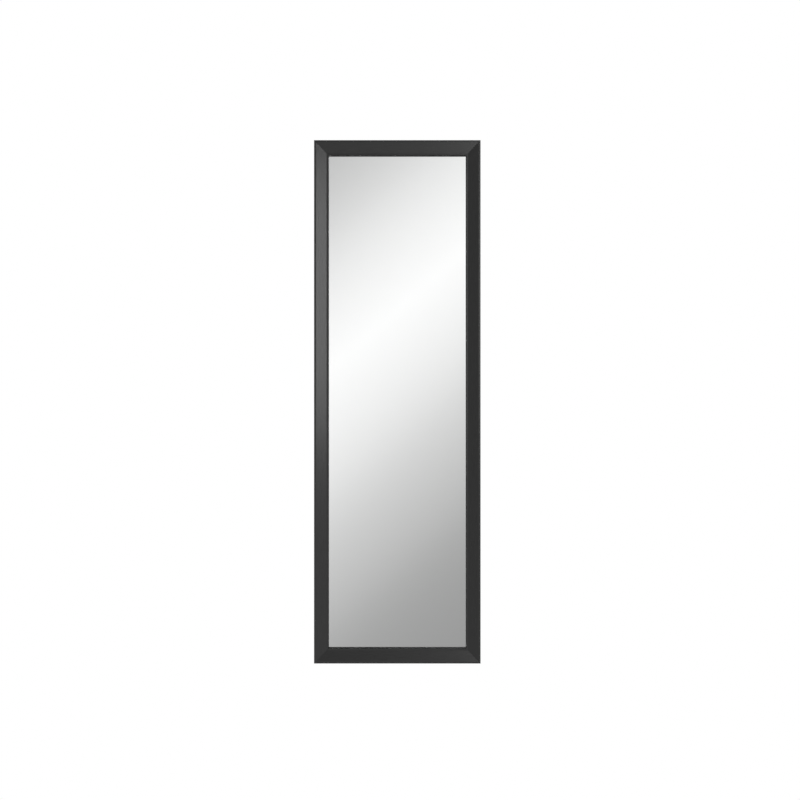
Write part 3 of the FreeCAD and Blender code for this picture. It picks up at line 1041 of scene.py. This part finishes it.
def add_card(stage, camera):
    """Large card that glows in soft slanting bands of painted light, in front of the mirror, seen only by
    way of the pane as the mirror's reflection.
    """
    to_camera = SILVER_FRONT - camera.location.y
    grown = 1.0 + (stage.card_distance + SILVER_FRONT) / to_camera
    right, down = math.cos(stage.card_turn), math.sin(stage.card_turn)
    stay = 1.0 - 1.0 / grown
    offset = camera.location.x * stay * right - (camera.location.z * stay - MIDDLE.z) * down

    material, start = new_material("glowing graded card")
    x, _, z = axes(object_place(start))
    band = x * (right / grown) - z * (down / grown) + (offset - stage.card_crest)
    fall = band.maths("PINGPONG", band, stage.card_reach) * (1.0 / stage.card_reach)
    # Brightness of the card's glowing bands of painted light, from the brightest to the darkest
    levels, strength = (1.0, 0.73, 0.43, 0.29), 1.065
    level = fall.node("ShaderNodeValToRGB", {"stops": levels}, {"Fac": fall})
    glow = start.node("ShaderNodeEmission", inputs={"Color": level, "Strength": strength})
    start.node("ShaderNodeOutputMaterial", inputs={"Surface": glow})

    bm = bmesh.new()
    upright_rectangle(bm, (0.0, -stage.card_distance, MIDDLE.z), stage.card_size, stage.card_size)
    card = make_object("glowing graded card", bm, material)
    card.visible_camera = False
    card.visible_diffuse = False
    card.visible_glossy = False
    card.visible_shadow = False


class WALLMIRROR_OT_stage(Operator):
    """Set the camera, the lamps, the floor and the graded card"""

    bl_idname = "wall_mirror.stage"
    bl_label = "Studio"

    def execute(self, context):
        settings = context.scene.wall_mirror
        stage = settings.stage
        context.scene.view_settings.view_transform = "Standard"
        camera = add_camera(stage)
        light_world(stage)
        add_lamp("key lamp", stage.key_place, stage.key_width, stage.key_height, stage.key_power)
        add_lamp("fill lamp", stage.fill_place, stage.fill_size, stage.fill_size, stage.fill_power)
        add_floor(stage, settings.finishes.floor)
        add_card(stage, camera)
        return {"FINISHED"}


class WALLMIRROR_OT_moulding(Operator):
    """Build the four mitred rails of the moulding"""

    bl_idname = "wall_mirror.moulding"
    bl_label = "Moulding"

    def execute(self, context):
        settings = context.scene.wall_mirror
        upright = moulding_finish("satin black, upright", "Z", settings)
        level = moulding_finish("satin black, level", "X", settings)
        for side, name in SIDE_NAMES.items():
            bm = rail(side, BOTTOM, (1.0, 1.0, -1.0), settings.moulding)
            add_piece(f"moulding_{name}", bm, upright, "frame", "moulding_black", f"frame_rail_{name}")
        for end, name in END_NAMES.items():
            bm = rail(LEFT, end, (-1.0, 1.0, 1.0), settings.moulding)
            add_piece(f"moulding_{name}", bm, level, "frame", "moulding_black", f"frame_rail_{name}")
        return {"FINISHED"}


class WALLMIRROR_OT_corner_nails(Operator):
    """Finish the steel nails across the mitres"""

    bl_idname = "wall_mirror.corner_nails"
    bl_label = "Corner Nails"

    def execute(self, context):
        steel = context.scene.wall_mirror.finishes.nail_steel
        bare = steel_finish("bare nail steel", steel, roughness=0.42, scratch_depth=0.02 * MM)
        for end in END_NAMES.values():
            for side in SIDE_NAMES.values():
                repaint(f"v_nails_{end}_{side}", bare)
        return {"FINISHED"}


class WALLMIRROR_OT_pane(Operator):
    """Build the pane of glass and its silver coating"""

    bl_idname = "wall_mirror.pane"
    bl_label = "Silvered Pane"

    def execute(self, context):
        settings = context.scene.wall_mirror
        sizes = settings.sheets
        low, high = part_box("mirror_glass")
        low.y += sizes.pane_clearance
        bm = sheet(low, high, 0.0, sizes.pane_arris)
        add_piece("pane", bm, pane_finish(settings), "frame", "clear_glass", "mirror_glass")
        low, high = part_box("silver_coating")
        low.y -= sizes.silver_bite
        bm = sheet(low, high, 0.0, sizes.silver_bite)
        add_piece("silvering", bm, silver_finish(settings), "frame", "silvering", "silver_coating")
        return {"FINISHED"}


class WALLMIRROR_OT_backing(Operator):
    """Build the back board and finish the liner under it"""

    bl_idname = "wall_mirror.backing"
    bl_label = "Back Board and Liner"

    def execute(self, context):
        settings = context.scene.wall_mirror
        sizes = settings.sheets
        repaint("backing_liner", liner_finish(settings))
        bm = sheet(*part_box("back_panel"), sizes.board_corner, sizes.board_edge)
        add_piece("back_board", bm, hardboard_finish(settings), "frame", "hardboard", "back_panel")
        return {"FINISHED"}


class WALLMIRROR_OT_turn_buttons(Operator):
    """Build the turn buttons that keep the back board in"""

    bl_idname = "wall_mirror.turn_buttons"
    bl_label = "Turn Buttons"

    def execute(self, context):
        settings = context.scene.wall_mirror
        zinc = settings.finishes.zinc
        plated = steel_finish("plated button steel", zinc, roughness=0.32, scratch_depth=0.02 * MM)
        for node in BUTTONS:
            bm = turn_button(node, settings.buttons, settings.screws.hole_radius)
            add_piece(node.replace("turn_button", "button"), bm, plated, node, "plated_steel", node)
        return {"FINISHED"}


class WALLMIRROR_OT_screws(Operator):
    """Build the screws of the turn buttons and of the strap hangers"""

    bl_idname = "wall_mirror.screws"
    bl_label = "Screws"

    def execute(self, context):
        settings = context.scene.wall_mirror
        sizes, zinc = settings.screws, settings.finishes.zinc
        bright = steel_finish("plated screw steel", zinc, roughness=0.26, scratch_depth=0.01 * MM)
        under_head = Y_AXIS * (settings.buttons.steel + 2 * settings.buttons.running_gap)
        on_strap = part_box("hanger_screws")[1].y - sizes.head_height
        seats = {"turn_button_screws": [PIVOTS[node] + under_head for node in BUTTONS], "hanger_screws": []}
        for name in SIDE_NAMES.values():
            eye = PIVOTS[f"hanger_ring_{name}"]
            seats["hanger_screws"].append(Vector((eye.x, on_strap, eye.z - settings.hangers.hole_drop)))
        for node, points in seats.items():
            low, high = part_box(node)
            bm = screw_group(points, sizes, high.y - low.y - sizes.head_height)
            add_piece(node.replace("screws", "pan_screws"), bm, bright, "frame", "plated_steel", node)
        return {"FINISHED"}


class WALLMIRROR_OT_hangers(Operator):
    """Build the folded strap hangers and their rings"""

    bl_idname = "wall_mirror.hangers"
    bl_label = "Strap Hangers and Rings"

    def execute(self, context):
        settings = context.scene.wall_mirror
        sizes, zinc = settings.hangers, settings.finishes.zinc
        strip = steel_finish("plated strip steel", zinc, roughness=0.34, scratch_depth=0.02 * MM)
        wire = steel_finish("plated ring wire", zinc, roughness=0.24, scratch_depth=0.01 * MM)
        for name in SIDE_NAMES.values():
            bm = hanger_strap(name, sizes, settings.screws.hole_radius)
            add_piece(f"strap_{name}", bm, strip, "frame", "plated_steel", f"hanger_strap_{name}")
            node = f"hanger_ring_{name}"
            add_piece(f"ring_{name}", hanger_ring(node, sizes), wire, node, "plated_steel", node)
        return {"FINISHED"}


class WALLMIRROR_OT_bumpers(Operator):
    """Build the rubber bumpers at the foot"""

    bl_idname = "wall_mirror.bumpers"
    bl_label = "Wall Bumpers"

    def execute(self, context):
        settings = context.scene.wall_mirror
        rubber = rubber_finish(settings)
        for name in SIDE_NAMES.values():
            node = f"wall_bumper_{name}"
            bm = wall_bumper(node, settings.bumpers)
            add_piece(f"bumper_{name}", bm, rubber, "frame", "bumper_rubber", node)
        return {"FINISHED"}


OPERATORS = [
    WALLMIRROR_OT_stage,
    WALLMIRROR_OT_moulding,
    WALLMIRROR_OT_corner_nails,
    WALLMIRROR_OT_pane,
    WALLMIRROR_OT_backing,
    WALLMIRROR_OT_turn_buttons,
    WALLMIRROR_OT_screws,
    WALLMIRROR_OT_hangers,
    WALLMIRROR_OT_bumpers,
]


class WALLMIRROR_PT_panel(Panel):
    """Builds the wall mirror piece by piece"""

    bl_idname = "WALLMIRROR_PT_panel"
    bl_label = "Wall Mirror"
    bl_space_type = "VIEW_3D"
    bl_region_type = "UI"
    bl_category = "Wall Mirror"

    def draw(self, context):
        column = self.layout.column(align=True)
        for operator in OPERATORS:
            column.operator(operator.bl_idname)
        settings = context.scene.wall_mirror
        for name in WallMirrorSettings.__annotations__:
            group = getattr(settings, name)
            box = self.layout.box()
            box.label(text=name.title())
            for size in group.__annotations__:
                box.prop(group, size)


CLASSES = [
    MouldingSizes,
    SheetSizes,
    ButtonSizes,
    ScrewSizes,
    HangerSizes,
    BumperSizes,
    Finishes,
    StageSettings,
    WallMirrorSettings,
    *OPERATORS,
    WALLMIRROR_PT_panel,
]


def register():
    for cls in CLASSES:
        bpy.utils.register_class(cls)
    bpy.types.Scene.wall_mirror = PointerProperty(type=WallMirrorSettings)


def unregister():
    del bpy.types.Scene.wall_mirror
    for cls in reversed(CLASSES):
        bpy.utils.unregister_class(cls)


def main():
    register()
    bpy.ops.wall_mirror.stage()
    bpy.ops.wall_mirror.moulding()
    bpy.ops.wall_mirror.corner_nails()
    bpy.ops.wall_mirror.pane()
    bpy.ops.wall_mirror.backing()
    bpy.ops.wall_mirror.turn_buttons()
    bpy.ops.wall_mirror.screws()
    bpy.ops.wall_mirror.hangers()
    bpy.ops.wall_mirror.bumpers()


if __name__ == "__main__":
    main()
